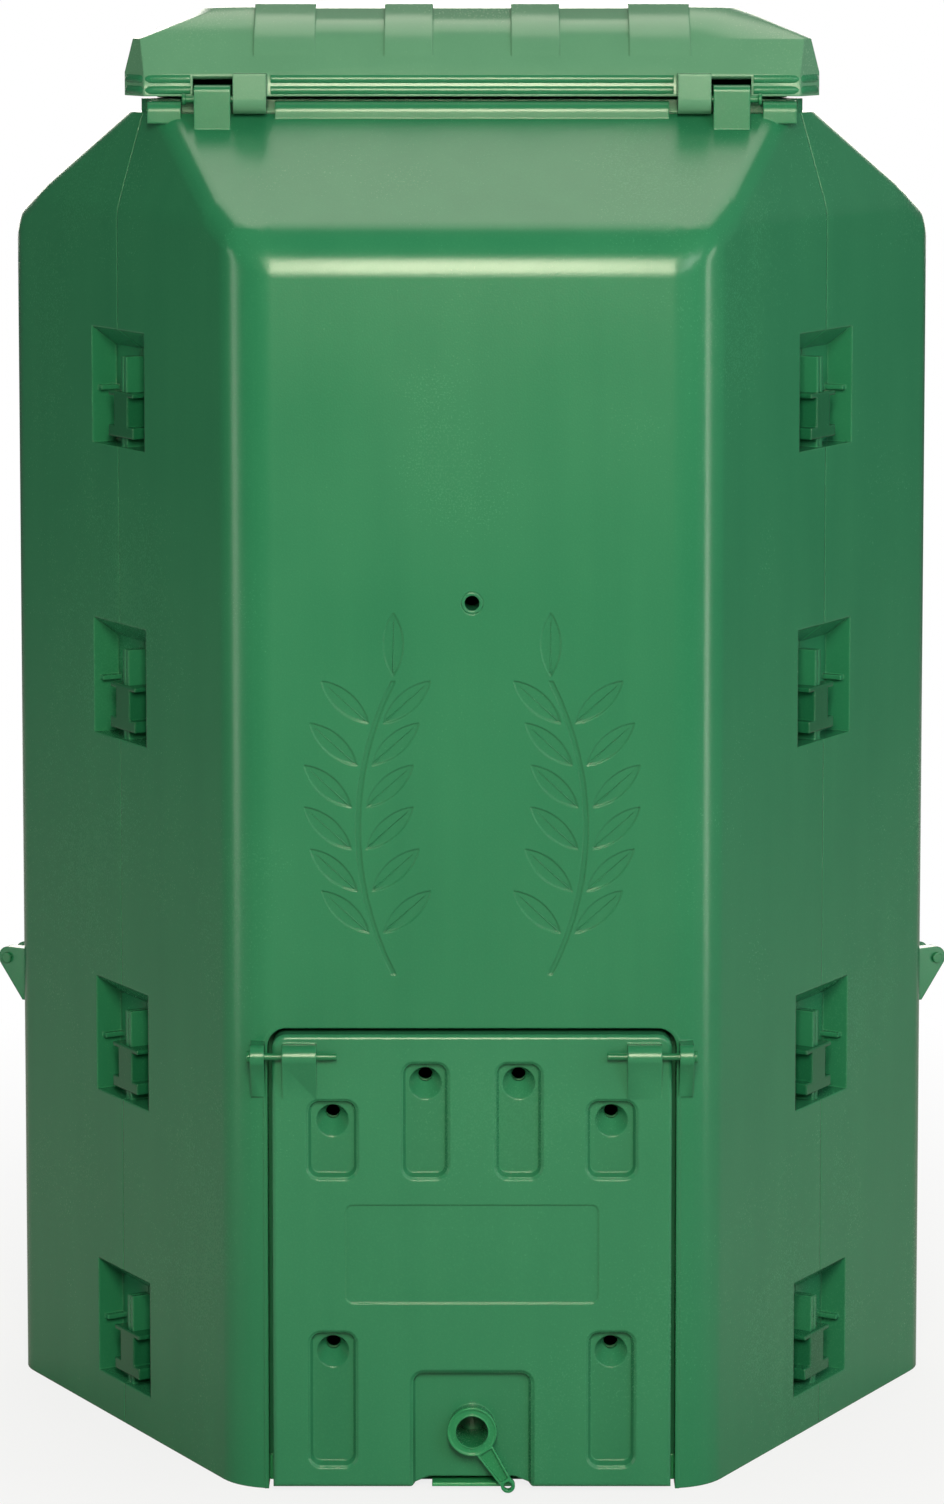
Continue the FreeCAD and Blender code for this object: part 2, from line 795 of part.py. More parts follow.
def latch_cam():
    """Plate on the inner end of the spindle, whose finger turns down behind the sill."""
    disc = spindle_hole(spindle_radius + sleeve_wall, cam_front_y, cam_back_y)
    finger = box(
        -cam_reach, 0, cam_front_y, cam_back_y,
        latch_height - cam_half_width, latch_height + cam_half_width,
    )
    ends = [e for e in along_y_edges(finger) if e.CenterOfMass.x < -cam_half_width]
    finger = finger.makeFillet(cam_half_width / 2, ends)
    return disc.fuse(finger).removeSplitter()


# Seam clips

def seam_clip(bottom):
    """Spool-shaped clip that slides over the two ribs of a pocket and draws the panels together."""
    slot_half = seam_gap / 2 + seam_rib + clip_slack
    floor = -pocket_depth + clip_slack
    crown = -pocket_depth + seam_rib_height + clip_slack
    front = crown + clip_back
    z0 = bottom + clip_lift
    z1 = z0 + clip_height
    neck_half = slot_half + clip_cheek
    neck = box(-neck_half, neck_half, floor, front, z0, z1)
    cap = box(-clip_flange_half, clip_flange_half, floor, front, z1 - clip_cap, z1)
    base = box(-clip_flange_half, clip_flange_half, floor, front, z0, z0 + clip_base)
    slot = box(-slot_half, slot_half, floor - skin, crown, z0 - skin, z1 + skin)
    return at_seam(neck.fuse([cap, base]).cut(slot).removeSplitter())


# Lid

def lid_form(wall_inset, lift):
    """Closed form of the lid, moved inwards by a wall or lifted as a whole."""
    crease_z = lid_base + lid_skirt + lid_crease_rise
    crease = (lid_crease_inset_front, lid_crease_inset_long, lid_crease_inset_short)
    top = (lid_top_inset_front, lid_top_inset_long, lid_top_inset_short)
    levels = [
        ((0, 0, 0), lid_base - wall_inset),
        ((0, 0, 0), lid_base + lid_skirt),
        (crease, crease_z),
        (top, crease_z + lid_top_rise),
    ]
    rings = []
    for (front_in, long_in, short_in), z in levels:
        front = lid_front - wall_inset - front_in
        long_side = lid_long_apothem - wall_inset - long_in
        short_side = lid_short_apothem - wall_inset - short_in
        rings.append(plan(front, long_side, short_side, z - wall_inset + lift))
    tiers = [frustum(low, high) for low, high in zip(rings, rings[1:])]
    return tiers[0].fuse(tiers[1:]).removeSplitter()


def lid_hinge_room(x_start, x_end):
    """Space that the lid leaves free round a bracket as it swings."""
    return rod(bracket_swing, V(x_start, lid_axis_y, lid_axis_z), V(x_end, lid_axis_y, lid_axis_z))


def lid_bracket_room():
    x_start = bracket_start - bracket_gap + pin_slack
    x_end = bracket_start + bracket_width + bracket_gap
    return both_sides(lid_hinge_room(x_start, x_end))


def lid_rib(x_start, width):
    strip = box(
        x_start, x_start + width, -(lid_front - lid_rib_front), -lid_rib_back,
        lid_base + lid_skirt, lid_base + far,
    )
    return strip.common(lid_form(0, lid_rib_rise))


def lid_shell():
    ribs = both_sides(lid_rib(lid_rib_start, lid_rib_width))
    pads = both_sides(lid_rib(lid_pad_start, lid_pad_width))
    shell = lid_form(0, 0).fuse(ribs + pads).cut(lid_form(lid_wall, 0)).cut(lid_bracket_room())
    x0, x1 = lid_knuckle_start, lid_knuckle_start + lid_knuckle_width
    barrel = rod(lid_knuckle_radius, V(x0, lid_axis_y, lid_axis_z), V(x1, lid_axis_y, lid_axis_z))
    tongue = box(
        x0, x1, lid_axis_y - lid_knuckle_radius, -lid_front + lid_wall, lid_axis_z, lid_base + lid_skirt
    )
    knuckle = barrel.fuse(tongue).cut(hinge_bore(0, far, lid_axis_y, lid_axis_z))
    return shell.fuse(both_sides(knuckle)).removeSplitter()


def lid_mouth():
    """Apothems of the mouth that the lid closes, towards the doors and towards the seams."""
    return rim_apothem - collar_depth, corner_apothem(rim_top, wall)


def lid_liner():
    """Plate that closes the lid from below, with the seat that rests on the rim."""
    apothems = [apothem - lid_wall for apothem in (lid_front, lid_long_apothem, lid_short_apothem)]
    plate = prism(plan(*apothems, lid_base), V(0, 0, lid_plate))
    mouth_long, mouth_short = lid_mouth()
    seat_z = rim_top + lid_seat_gap
    seat = plan_block(rim_apothem, mouth_short + collar_depth, seat_z, lid_base)
    seat = seat.cut(plan_block(mouth_long, mouth_short, seat_z - skin, lid_base + skin))
    shape = plate.fuse(seat).cut(lid_bracket_room())
    x0, x1 = lid_knuckle_start - pin_slack, lid_knuckle_start + lid_knuckle_width + pin_slack
    return shape.cut(both_sides(lid_hinge_room(x0, x1))).removeSplitter()


def lid_lip():
    """Ring under the lid's plate that keeps the lid in the middle of the mouth."""
    long_side, short_side = [apothem - lid_lip_gap for apothem in lid_mouth()]
    foot = lid_base - lid_lip_drop
    ring = plan_block(long_side, short_side, foot, lid_base)
    inside = plan_block(
        long_side - lid_lip_wall, short_side - lid_lip_wall, foot - skin, lid_base + skin
    )
    return ring.cut(inside)


# Make the pieces and write them

def pieces():
    """Each piece's name and shape, in its place on the bin."""
    liner, hood = liner_pieces()
    alike = {
        "inner_liner": liner,
        "liner_hood": hood,
        "probe_sleeve": probe_sleeve(),
        "door_sill": door_sill(liner),
        "door_shell": door_shell(),
        "door_cover": door_cover(),
        "door_pins": pin_pair(
            door_knuckle_start - door_pin_overhang, body_lug_start + body_lug_width,
            door_axis_y, door_axis_height,
        ),
        "latch_lever": latch_lever(),
        "latch_cam": latch_cam(),
        "seam_clips": Part.makeCompound([seam_clip(bottom) for bottom in pocket_bottoms]),
    }
    plain_wall = outer_wall()
    walls = {"front": front_wall(plain_wall.copy())}
    for name, angle in panels.items():
        yield "outer_wall_" + name, turned(walls.get(name, plain_wall), angle)
        for kind, shape in alike.items():
            yield kind + "_" + name, turned(shape, angle)
    yield "lid_shell", lid_shell()
    yield "lid_liner", lid_liner()
    yield "lid_lip", lid_lip()
    pin_end = bracket_start + bracket_width + lid_pin_stub - pin_head
    yield "lid_pins", pin_pair(lid_knuckle_start, pin_end, lid_axis_y, lid_axis_z)


os.makedirs("parts", exist_ok=True)
for node, shape in pieces():
    shape.exportStep("parts/" + node + ".step")
    print(node, "solids", len(shape.Solids), "valid", shape.isValid())
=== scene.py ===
import bmesh
import bpy
import math
from mathutils import Matrix, Vector


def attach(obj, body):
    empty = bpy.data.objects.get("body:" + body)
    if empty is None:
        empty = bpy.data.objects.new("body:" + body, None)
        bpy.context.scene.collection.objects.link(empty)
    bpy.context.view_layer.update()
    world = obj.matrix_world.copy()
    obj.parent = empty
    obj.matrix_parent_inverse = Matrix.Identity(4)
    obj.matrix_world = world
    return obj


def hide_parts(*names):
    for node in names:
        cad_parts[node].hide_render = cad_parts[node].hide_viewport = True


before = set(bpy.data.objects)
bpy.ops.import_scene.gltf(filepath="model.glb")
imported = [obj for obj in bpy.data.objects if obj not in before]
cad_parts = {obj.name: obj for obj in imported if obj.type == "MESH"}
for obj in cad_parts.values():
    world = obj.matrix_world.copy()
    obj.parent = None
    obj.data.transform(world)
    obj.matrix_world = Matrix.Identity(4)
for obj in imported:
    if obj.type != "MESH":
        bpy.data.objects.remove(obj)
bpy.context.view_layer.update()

mm = 0.001
panelStep = 120.0  # degrees from one panel to the next
frontFacing = -90.0  # the front panel looks along -Y
panelTurns = {"front": 0.0, "rear_left": -panelStep, "rear_right": panelStep}
pieceNames = {"front": "front", "rear_left": "rearLeft", "rear_right": "rearRight"}
print("frame loaded:", len(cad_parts), "nodes")


# A socket that can be added, multiplied and so on; every other node comes from make
class Wire:
    def __init__(self, tree, socket=None):
        self.tree = tree
        self.socket = socket

    def make(self, kind, settings=None, sockets=None, out=0):
        node = self.tree.nodes.new(kind)
        for key, value in (settings or {}).items():
            setattr(node, key, value)
        for key, value in (sockets or {}).items():
            if isinstance(value, Wire):
                self.tree.links.new(value.socket, node.inputs[key])
            else:
                node.inputs[key].default_value = value
        return Wire(self.tree, node.outputs[out] if len(node.outputs) else None)

    def maths(self, operation, first, second):
        return self.make("ShaderNodeMath", {"operation": operation}, {0: first, 1: second})

    def __add__(self, other):
        return self.maths("ADD", self, other)

    def __sub__(self, other):
        return self.maths("SUBTRACT", self, other)

    def __rsub__(self, other):
        return self.maths("SUBTRACT", other, self)

    def __mul__(self, other):
        return self.maths("MULTIPLY", self, other)

    def most(self, other):
        return self.maths("MAXIMUM", self, other)

    def limited(self):
        return self.make("ShaderNodeClamp", None, {"Value": self})

    def blend(self, share, first, second):
        inputs = {0: share, 6: first, 7: second}  # sockets 6 and 7 in and 2 out are the colour ones
        return self.make("ShaderNodeMix", {"data_type": "RGBA"}, inputs, out=2)


def newMaterial(name):
    material = bpy.data.materials.new(name)
    material.use_nodes = True
    material.node_tree.nodes.clear()
    return material, Wire(material.node_tree)


# Moulded green plastic: cloudy pigment, flow streaks, fine grain and paler edges, a painted highlight along
# the rounds that partly stands for wear too
plasticLook = {
    "cloudScale": 5.0, "cloudDetail": 4.0, "cloudShare": 0.6,
    "streakScale": 9.0, "streakStretch": 0.08, "streakNoise": 3.0, "streakDetail": 3.0,
    "streakShare": 0.4, "mixFloor": 0.3, "mixGain": 2.5,
    "grainScale": 620.0, "grainDetail": 2.0, "grainRoughness": 0.6, "grainMiddle": 0.5,
    "grainHeight": 0.00022, "grainStrength": 0.30, "grainPale": 0.35, "grainRough": 0.08,
    "edgeRadius": 0.0022, "edgeSamples": 6, "edgeGain": 1.6, "edgePale": 0.55,
    "roughLow": 0.21, "roughHigh": 0.30, "ior": 1.48, "specular": 0.36,
}


def plastic(name, colour, deep, pale, roughShift=0.0):
    look = plasticLook
    material, wire = newMaterial(name)
    place = wire.make("ShaderNodeTexCoord", out="Object")
    clouds = wire.make(
        "ShaderNodeTexNoise", None,
        {"Vector": place, "Scale": look["cloudScale"], "Detail": look["cloudDetail"]},
    )
    stretch = (look["streakScale"], look["streakScale"], look["streakScale"] * look["streakStretch"])
    along = wire.make("ShaderNodeMapping", None, {"Vector": place, "Scale": stretch})
    streaks = wire.make(
        "ShaderNodeTexNoise", None,
        {"Vector": along, "Scale": look["streakNoise"], "Detail": look["streakDetail"]},
    )
    grain = wire.make(
        "ShaderNodeTexNoise", None,
        {
            "Vector": place, "Scale": look["grainScale"], "Detail": look["grainDetail"],
            "Roughness": look["grainRoughness"],
        },
    )
    uneven = grain - look["grainMiddle"]
    edge = wire.make("ShaderNodeBevel", {"samples": look["edgeSamples"]}, {"Radius": look["edgeRadius"]})
    flat = wire.make("ShaderNodeNewGeometry", out="Normal")
    facing = wire.make(
        "ShaderNodeVectorMath", {"operation": "DOT_PRODUCT"}, {0: edge, 1: flat}, out="Value"
    )
    # painted highlight: edges, where the bevelled normal turns from the flat one, are lightened toward the
    # pale colour; this lightening also stands for some wear
    edgeHighlightAndWear = ((1 - facing) * look["edgeGain"]).limited()
    pigment = clouds * look["cloudShare"] + streaks * look["streakShare"]
    mixing = ((pigment - look["mixFloor"]) * look["mixGain"]).limited()
    body = wire.blend(mixing, (*deep, 1), (*colour, 1))
    specksAndEdgeHighlight = (uneven * look["grainPale"] + edgeHighlightAndWear * look["edgePale"]).limited()
    final = wire.blend(specksAndEdgeHighlight, body, (*pale, 1))
    span = look["roughHigh"] - look["roughLow"]
    rough = clouds * span + (look["roughLow"] + roughShift) + uneven * look["grainRough"]
    relief = wire.make(
        "ShaderNodeBump", None,
        {
            "Strength": look["grainStrength"], "Distance": look["grainHeight"], "Height": grain,
            "Normal": edge,
        },
    )
    surface = wire.make(
        "ShaderNodeBsdfPrincipled", None,
        {
            "Base Color": final, "Roughness": rough, "Normal": relief, "IOR": look["ior"],
            "Specular IOR Level": look["specular"],
        },
    )
    wire.make("ShaderNodeOutputMaterial", None, {"Surface": surface})
    return material


# Each finish: name, colour, colour of the darker clouds, pale colour of the grain specks and of the edges
# (painted edge highlight, partly wear), any extra roughness
greens = {
    "wall_green": ("wallGreen", (0.021, 0.160, 0.078), (0.014, 0.136, 0.066), (0.066, 0.290, 0.150)),
    "liner_green": ("linerGreen", (0.014, 0.140, 0.062), (0.010, 0.115, 0.050), (0.045, 0.230, 0.110), 0.1),
    "door_green": ("doorGreen", (0.026, 0.170, 0.086), (0.019, 0.147, 0.074), (0.076, 0.310, 0.160)),
    # painted reflection: the lid's green is paler than the walls' partly to stand for the whitish sheen its
    # slopes reflect
    "lid_green": ("lidGreen", (0.090, 0.235, 0.150), (0.076, 0.207, 0.132), (0.150, 0.340, 0.230)),
    "latch_green": ("latchGreen", (0.020, 0.200, 0.085), (0.015, 0.170, 0.070), (0.080, 0.340, 0.160)),
    "clip_green": ("clipGreen", (0.009, 0.100, 0.046), (0.006, 0.080, 0.036), (0.050, 0.240, 0.115)),
    "sill_green": ("sillGreen", (0.030, 0.270, 0.105), (0.022, 0.230, 0.090), (0.090, 0.380, 0.170)),
    "pin_green": ("pinGreen", (0.016, 0.150, 0.066), (0.011, 0.125, 0.055), (0.060, 0.270, 0.130)),
}
finishes = {slot: plastic(*green) for slot, green in greens.items()}
print("finishes made:", len(finishes))


def bake(piece):
    graph = bpy.context.evaluated_depsgraph_get()
    mesh = bpy.data.meshes.new_from_object(piece.evaluated_get(graph))
    old = piece.data
    piece.modifiers.clear()
    piece.data = mesh
    bpy.data.meshes.remove(old)
    mesh.name = piece.name


def newPiece(name, mesh):
    piece = bpy.data.objects.new(name, mesh)
    bpy.context.scene.collection.objects.link(piece)
    return piece


def dress(piece, slot, body, *nodes):
    piece.data.materials.clear()
    piece.data.materials.append(finishes[slot])
    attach(piece, body)
    if nodes:
        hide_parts(*nodes)


# Each moulded part again, with its doubles merged, its sharp edges eased and its rounds shaded smooth
softEdge = {"mergeGap": 0.00001, "flatAngle": 0.3, "bevelAngle": 38.0, "segments": 2, "sharpAngle": 42.0}
lidCorner = {
    "width": 8.0 * mm, "segments": 5, "minLength": 15.0 * mm, "minRise": 0.15, "minAngle": 35.0,
    "minReach": 270.0 * mm,
}


def roundCorners(piece):
    work = bmesh.new()
    work.from_mesh(piece.data)
    weights = work.edges.layers.float.new("bevel_weight_edge")
    for edge in work.edges:
        first, last = [corner.co for corner in edge.verts]
        length = (last - first).length
        if length < lidCorner["minLength"] or not edge.is_convex:
            continue
        steep = abs(last.z - first.z) > lidCorner["minRise"] * length
        wide = edge.calc_face_angle(0) > math.radians(lidCorner["minAngle"])
        outside = min(corner.co.xy.length for corner in edge.verts) > lidCorner["minReach"]
        if steep and wide and outside:
            edge[weights] = 1.0
    work.to_mesh(piece.data)
    work.free()
    bevel = piece.modifiers.new("roundedCorners", "BEVEL")
    bevel.limit_method = "WEIGHT"
    bevel.width = lidCorner["width"]
    bevel.segments = lidCorner["segments"]
    bake(piece)


def softCopy(node, name, width, corners=False):
    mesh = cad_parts[node].data.copy()
    work = bmesh.new()
    work.from_mesh(mesh)
    bmesh.ops.remove_doubles(work, verts=work.verts, dist=softEdge["mergeGap"])
    bmesh.ops.dissolve_limit(
        work, angle_limit=math.radians(softEdge["flatAngle"]), verts=work.verts, edges=work.edges,
        delimit={"NORMAL"},
    )
    work.to_mesh(mesh)
    work.free()
    piece = newPiece(name, mesh)
    if corners:
        roundCorners(piece)
    if width:
        bevel = piece.modifiers.new("eased", "BEVEL")
        bevel.limit_method = "ANGLE"
        bevel.angle_limit = math.radians(softEdge["bevelAngle"])
        bevel.width = width
        bevel.segments = softEdge["segments"]
        bake(piece)
    piece.data.shade_smooth()
    piece.data.set_sharp_from_angle(angle=math.radians(softEdge["sharpAngle"]))
    normals = piece.modifiers.new("evenNormals", "WEIGHTED_NORMAL")
    normals.keep_sharp = True
    bake(piece)
    return piece


panelParts = {
    "outer_wall": {"name": "Wall", "slot": "wall_green", "body": "body", "ease": 1.2 * mm},
    "inner_liner": {"name": "Liner", "slot": "liner_green", "body": "body", "ease": 0.0},
    "liner_hood": {"name": "LinerHood", "slot": "liner_green", "body": "body", "ease": 0.0},
    "door_shell": {"name": "Door", "slot": "door_green", "body": "door_", "ease": 0.9 * mm},
    "door_cover": {"name": "DoorBack", "slot": "liner_green", "body": "door_", "ease": 0.0},
    "door_pins": {"name": "DoorPins", "slot": "pin_green", "body": "body", "ease": 0.3 * mm},
    "latch_lever": {"name": "Lever", "slot": "latch_green", "body": "latch_", "ease": 0.4 * mm},
    "latch_cam": {"name": "Cam", "slot": "latch_green", "body": "latch_", "ease": 0.0},
    "seam_clips": {"name": "Clips", "slot": "clip_green", "body": "body", "ease": 0.9 * mm},
    "probe_sleeve": {"name": "ProbeSleeve", "slot": "wall_green", "body": "body", "ease": 0.4 * mm},
    "door_sill": {"name": "Sill", "slot": "sill_green", "body": "body", "ease": 0.5 * mm},
}
for panel in panelTurns:
    for kind, part in panelParts.items():
        node = kind + "_" + panel
        piece = softCopy(node, pieceNames[panel] + part["name"], part["ease"])
        body = part["body"] + panel if part["body"].endswith("_") else part["body"]
        dress(piece, part["slot"], body, node)
lidParts = {
    "lid_shell": {"name": "lidTop", "slot": "lid_green", "body": "lid", "ease": 1.0 * mm},
    "lid_liner": {"name": "lidUnderside", "slot": "liner_green", "body": "lid", "ease": 0.0},
    "lid_lip": {"name": "lidLip", "slot": "liner_green", "body": "lid", "ease": 0.0},
    "lid_pins": {"name": "lidPins", "slot": "pin_green", "body": "body", "ease": 0.3 * mm},
}
for node, part in lidParts.items():
    piece = softCopy(node, part["name"], part["ease"], node == "lid_shell")
    dress(piece, part["slot"], part["body"], node)
print("moulded parts dressed")


# A bead that follows a path: tube along the edges of a mesh, with closed ends
def beadTree():
    tree = bpy.data.node_groups.new("beadTree", "GeometryNodeTree")
    face = tree.interface
    face.new_socket("Path", in_out="INPUT", socket_type="NodeSocketGeometry")
    face.new_socket("Radius", in_out="INPUT", socket_type="NodeSocketFloat")
    face.new_socket("Sides", in_out="INPUT", socket_type="NodeSocketInt")
    face.new_socket("Finish", in_out="INPUT", socket_type="NodeSocketMaterial")
    face.new_socket("Bead", in_out="OUTPUT", socket_type="NodeSocketGeometry")
    wire = Wire(tree)
    given = wire.make("NodeGroupInput").socket.node
    path, radius, sides, finish = [
        Wire(tree, given.outputs[key]) for key in ("Path", "Radius", "Sides", "Finish")
    ]
    curve = wire.make("GeometryNodeMeshToCurve", None, {"Mesh": path})
    ring = wire.make("GeometryNodeCurvePrimitiveCircle", None, {"Resolution": sides, "Radius": radius})
    tube = wire.make(
        "GeometryNodeCurveToMesh", None, {"Curve": curve, "Profile Curve": ring, "Fill Caps": True}
    )
    smooth = wire.make("GeometryNodeSetShadeSmooth", None, {"Geometry": tube})
    whole = wire.make("GeometryNodeRealizeInstances", None, {"Geometry": smooth})
    painted = wire.make("GeometryNodeSetMaterial", None, {"Geometry": whole, "Material": finish})
    wire.make("NodeGroupOutput", None, {"Bead": painted})
    return tree


# Leaf ribs: one tapered rib at each point, turned about the panel's outward axis by its own angle
def ribTree():
    tree = bpy.data.node_groups.new("ribTree", "GeometryNodeTree")
    face = tree.interface
    face.new_socket("Roots", in_out="INPUT", socket_type="NodeSocketGeometry")
    face.new_socket("Length", in_out="INPUT", socket_type="NodeSocketFloat")
    face.new_socket("Radius", in_out="INPUT", socket_type="NodeSocketFloat")
    face.new_socket("Taper", in_out="INPUT", socket_type="NodeSocketFloat")
    face.new_socket("Steps", in_out="INPUT", socket_type="NodeSocketInt")
    face.new_socket("Sides", in_out="INPUT", socket_type="NodeSocketInt")
    face.new_socket("Finish", in_out="INPUT", socket_type="NodeSocketMaterial")
    face.new_socket("Ribs", in_out="OUTPUT", socket_type="NodeSocketGeometry")
    wire = Wire(tree)
    given = wire.make("NodeGroupInput").socket.node
    roots, length, radius, taper, steps, sides, finish = [
        Wire(tree, given.outputs[key])
        for key in ("Roots", "Length", "Radius", "Taper", "Steps", "Sides", "Finish")
    ]
    end = wire.make("ShaderNodeCombineXYZ", None, {"Z": length})
    line = wire.make("GeometryNodeCurvePrimitiveLine", None, {"End": end})
    fine = wire.make("GeometryNodeResampleCurve", None, {"Curve": line, "Count": steps})
    along = wire.make("GeometryNodeSplineParameter", out="Factor")
    thin = wire.make("GeometryNodeSetCurveRadius", None, {"Curve": fine, "Radius": 1 - along * taper})
    ring = wire.make("GeometryNodeCurvePrimitiveCircle", None, {"Resolution": sides, "Radius": radius})
    width = wire.make("GeometryNodeInputRadius")
    rib = wire.make(
        "GeometryNodeCurveToMesh", None,
        {"Curve": thin, "Profile Curve": ring, "Scale": width, "Fill Caps": True},
    )
    turn = wire.make(
        "GeometryNodeInputNamedAttribute", {"data_type": "FLOAT"}, {"Name": "turn"}, out="Attribute"
    )
    aim = wire.make("ShaderNodeCombineXYZ", None, {"Y": turn})
    spin = wire.make("FunctionNodeEulerToRotation", None, {"Euler": aim})
    sown = wire.make(
        "GeometryNodeInstanceOnPoints", None, {"Points": roots, "Instance": rib, "Rotation": spin}
    )
    smooth = wire.make("GeometryNodeSetShadeSmooth", None, {"Geometry": sown})
    whole = wire.make("GeometryNodeRealizeInstances", None, {"Geometry": smooth})
    painted = wire.make("GeometryNodeSetMaterial", None, {"Geometry": whole, "Material": finish})
    wire.make("NodeGroupOutput", None, {"Ribs": painted})
    return tree


# Gives a piece a node tree, sets the tree's inputs and turns the result into the piece's mesh
def grow(piece, tree, **inputs):
    modifier = piece.modifiers.new(tree.name, "NODES")
    modifier.node_group = tree
    for socket in tree.interface.items_tree:
        if socket.in_out == "INPUT" and socket.name in inputs:
            modifier[socket.identifier] = inputs[socket.name]
    bake(piece)


# Two rolls run round the lid's skirt and stop at its hinges
lidRolls = {
    "front": 195.0, "long": 180.0, "short": 343.0, "heights": (1184.3, 1193.9), "radius": 4.5,
    "proud": 1.8, "middleEnd": 174.0, "outerStart": 243.0, "sides": 16, "bend": 7.0, "bendSteps": 4,
}


# Where the lid's three long sides meet the short ones that stand between them
def lidCorners(inset):
    corners = []
    apothems = (lidRolls["front"], lidRolls["long"], lidRolls["long"])
    short = lidRolls["short"] - inset
    for k, apothem in enumerate(apothems):
        facing = math.radians(frontFacing + panelStep * k)
        for side in (-1, 1):
            beside = facing + side * math.radians(panelStep / 2)
            turn = math.sin(beside - facing)
            near = apothem - inset
            x = (near * math.sin(beside) - short * math.sin(facing)) / turn
            y = (short * math.cos(facing) - near * math.cos(beside)) / turn
            corners.append((x, y))
    return corners


def roundPath(path):
    bent = [path[0]]
    for before, corner, after in zip(path, path[1:], path[2:]):
        middle = Vector(corner)
        way1, way2 = [(Vector(end) - middle).normalized() * lidRolls["bend"] for end in (before, after)]
        for step in range(lidRolls["bendSteps"] + 1):
            share = step / lidRolls["bendSteps"]
            bent.append(tuple(middle + way1 * (1 - share) ** 2 + way2 * share ** 2))
    return bent + [path[-1]]


def makeLidRolls():
    inset = lidRolls["radius"] - lidRolls["proud"]
    corners = lidCorners(inset)
    y = corners[0][1]
    end, start = lidRolls["middleEnd"], lidRolls["outerStart"]
    runs = [[(-end, y), (end, y)], roundPath([(start, y)] + corners[1:] + [corners[0], (-start, y)])]
    points, edges = [], []
    for z in lidRolls["heights"]:
        for run in runs:
            first = len(points)
            points += [(px * mm, py * mm, z * mm) for px, py in run]
            edges += [(first + k, first + k + 1) for k in range(len(run) - 1)]
    mesh = bpy.data.meshes.new("lidRolls")
    mesh.from_pydata(points, edges, [])
    piece = newPiece("lidRolls", mesh)
    size = lidRolls["radius"] * mm
    grow(piece, beadTree(), Radius=size, Sides=lidRolls["sides"], Finish=finishes["wall_green"])
    dress(piece, "wall_green", "lid")


# A thin seal in the gap of each seam, at the liner's depth
seamSeals = {"reach": 324.2, "low": 6.0, "high": 1060.0, "radius": 0.6, "sides": 8}


def makeSeamSeals():
    points, edges = [], []
    for angle in panelTurns.values():
        facing = math.radians(frontFacing + panelStep / 2 + angle)
        x, y = [seamSeals["reach"] * mm * way for way in (math.cos(facing), math.sin(facing))]
        edges.append((len(points), len(points) + 1))
        points += [(x, y, seamSeals["low"] * mm), (x, y, seamSeals["high"] * mm)]
    mesh = bpy.data.meshes.new("seamSeals")
    mesh.from_pydata(points, edges, [])
    piece = newPiece("seamSeals", mesh)
    size = seamSeals["radius"] * mm
    grow(piece, beadTree(), Radius=size, Sides=seamSeals["sides"], Finish=finishes["liner_green"])
    dress(piece, "liner_green", "body")


# Raised midribs in the sunk leaves of each panel
leafRibs = {
    "floor": -369.75, "offset": 66.0, "bottom": 445.0, "height": 250.0, "bow": 30.0, "pairs": 6,
    "angle": 48.0, "rootGap": 6.0, "tipGap": 4.0, "start": 3.0, "length": 44.0, "radius": 0.9,
    "taper": 0.7, "steps": 8, "sides": 8,
}


# Foot and turn of every rib: pairs up each bowed stem, and one straight up at its tip
def leafRoots():
    roots = []
    look = leafRibs
    last = look["pairs"] + 1
    for k in range(1, last + 1):
        share = k / last
        leans = (1, -1) if k < last else (0,)
        x = look["offset"] + look["bow"] * 4 * share * (1 - share)
        z = look["bottom"] + look["height"] * share + (0 if k < last else look["tipGap"])
        for lean in leans:
            turn = math.radians(look["angle"]) * lean
            away = x + lean * look["rootGap"] + look["start"] * math.sin(turn)
            up = z + look["start"] * math.cos(turn)
            roots += [(away, up, turn), (-away, up, -turn)]
    return roots


def makeLeafRibs():
    tree = ribTree()
    roots = leafRoots()
    for panel, angle in panelTurns.items():
        mesh = bpy.data.meshes.new(pieceNames[panel] + "LeafRibs")
        mesh.from_pydata([(x * mm, leafRibs["floor"] * mm, z * mm) for x, z, _ in roots], [], [])
        turns = mesh.attributes.new("turn", "FLOAT", "POINT")
        turns.data.foreach_set("value", [turn for _, _, turn in roots])
        piece = newPiece(mesh.name, mesh)
        grow(
            piece, tree, Length=leafRibs["length"] * mm, Radius=leafRibs["radius"] * mm,
            Taper=leafRibs["taper"], Steps=leafRibs["steps"], Sides=leafRibs["sides"],
            Finish=finishes["wall_green"],
        )
        piece.data.transform(Matrix.Rotation(math.radians(angle), 4, "Z"))
        dress(piece, "wall_green", "body")


makeLidRolls()
makeSeamSeals()
makeLeafRibs()
print("rolls, seals and ribs grown")


# Studio: white floor that keeps a faint shadow, soft lamps and the camera of the photograph
studio = {
    "floorSize": 60.0, "floorTone": 0.4, "shadowShare": 0.22, "shadowReach": 1.6, "insideReach": 0.335,
    "mirrorShare": 0.03, "worldLeft": 0.03, "worldRight": 0.18,
}


# The white background: full for the camera and through clear things, dimmer in reflections
def whiteFor(wire):
    node = wire.make("ShaderNodeLightPath").socket.node
    seen, glossy, through = [
        Wire(wire.tree, node.outputs[key])
        for key in ("Is Camera Ray", "Is Glossy Ray", "Is Transmission Ray")
    ]
    return seen.most(glossy * studio["mirrorShare"]).most(through)


